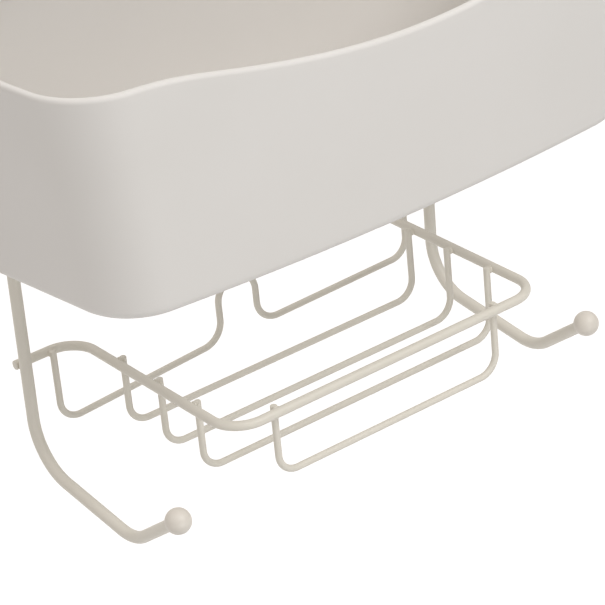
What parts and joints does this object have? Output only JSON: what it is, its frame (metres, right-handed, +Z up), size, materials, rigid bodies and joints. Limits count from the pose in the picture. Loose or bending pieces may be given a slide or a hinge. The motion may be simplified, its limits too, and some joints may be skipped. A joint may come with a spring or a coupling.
{
  "type": "hanging shower caddy",
  "caption": "Hanging shower caddy: coated rod frame with ball-tipped hooks, wire soap basket and a moulded lift-off bin with a dipped front rim.",
  "frame": {"origin": "hang point: the underside of the sleeve at the top of the loop, where the caddy rests on a shower arm", "axes": "+X to the right seen from the front, +Y towards the wall, +Z up"},
  "size_m": [0.3734, 0.1597, 0.408],
  "materials": {
    "coated_steel": "satin powder coat, warm grey",
    "ball_tip": "satin moulded plastic, warm grey",
    "sleeve": "matte silicone, warm grey",
    "bin": "matte moulded plastic, light grey"
  },
  "bodies": {
    "frame": {"left_upright": "coated_steel", "right_upright": "coated_steel", "hook_ball_left": "ball_tip", "hook_ball_right": "ball_tip", "hanger_loop": "coated_steel", "hanger_sleeve": "sleeve", "bin_bar": "coated_steel", "basket_rim": "coated_steel", "soap_wire_1": "coated_steel", "soap_wire_2": "coated_steel", "soap_wire_3": "coated_steel", "front_soap_wire": "coated_steel", "back_soap_wire": "coated_steel"},
    "bin": {"bin": "bin"}
  },
  "joints": [
    {"name": "bin_lift", "type": "slide", "parent": "frame", "child": "bin", "axis": [0, 0, 1], "range_m": [0, 0.025]}
  ]
}
